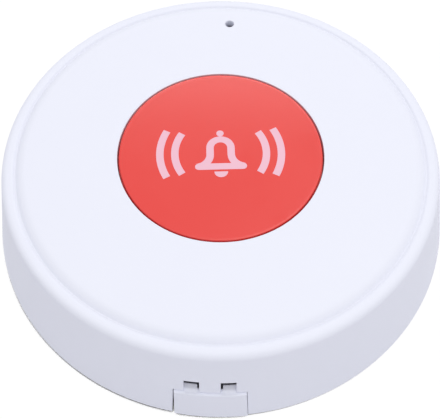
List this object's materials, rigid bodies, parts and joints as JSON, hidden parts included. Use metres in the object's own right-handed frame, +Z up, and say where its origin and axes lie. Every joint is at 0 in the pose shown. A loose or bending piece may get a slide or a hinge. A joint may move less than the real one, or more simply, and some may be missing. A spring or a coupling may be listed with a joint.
{
  "type": "caregiver pager",
  "caption": "Round white call pager with a flared case, a large flush red call button, an indicator hole and a lift-off rear cover with screw holes.",
  "frame": {"origin": "centre of the base, on the surface that the pager stands on", "axes": "+Z up out of the button's face, -Y towards the tongue of the rear cover, +Y towards the indicator hole"},
  "size_m": [0.0698, 0.07, 0.0149],
  "materials": {
    "case_white": "satin moulded plastic",
    "button_red": "satin moulded plastic",
    "board_green": "solder mask",
    "switch_black": "moulded",
    "chip_black": "moulded",
    "screw_steel": "zinc plated",
    "spring_steel": "bright wire",
    "sheet_nickel": "nickel plated sheet",
    "tinned_lead": "tinned",
    "cell_can": "pressed can",
    "contact_gold": "gold plated",
    "antenna_copper": "enamelled wire",
    "light_lens": "clear resin",
    "ferrite": "matt",
    "capacitor_tan": "matt",
    "capacitor_orange": "moulded"
  },
  "bodies": {
    "base": {"rear_cover": "case_white"},
    "housing": {"top_housing": "case_white", "return_spring": "spring_steel", "circuit_board": "board_green", "board_screws": "screw_steel", "coin_cell": "cell_can", "cell_clip": "sheet_nickel", "cell_contact": "contact_gold", "switch_body": "switch_black", "switch_cover": "sheet_nickel", "switch_dome": "sheet_nickel", "switch_terminals": "tinned_lead", "radio_chip": "chip_black", "chip_pins": "tinned_lead", "crystal": "sheet_nickel", "antenna_coil": "antenna_copper", "status_light": "light_lens", "choke": "ferrite", "bulk_capacitor": "capacitor_orange", "small_capacitors": "capacitor_tan", "resistors": "chip_black"},
    "button": {"call_button": "button_red"},
    "stem": {"switch_stem": "switch_black"}
  },
  "joints": [
    {"name": "housing_lift", "type": "slide", "parent": "base", "child": "housing", "axis": [0, 0, 1], "range_m": [0, 0.02]},
    {"name": "button_press", "type": "slide", "parent": "housing", "child": "button", "axis": [0, 0, -1], "range_m": [0, 0.0008], "stiffness_N_per_m": 1500, "springref_m": -0.0008, "deforming": ["return_spring"]},
    {"name": "stem_press", "type": "slide", "parent": "housing", "child": "stem", "axis": [0, 0, -1], "range_m": [0, 0.00025]}
  ],
  "couplings": [
    {"joint": "stem_press", "follows": "button_press", "ratio": 0.3125}
  ]
}
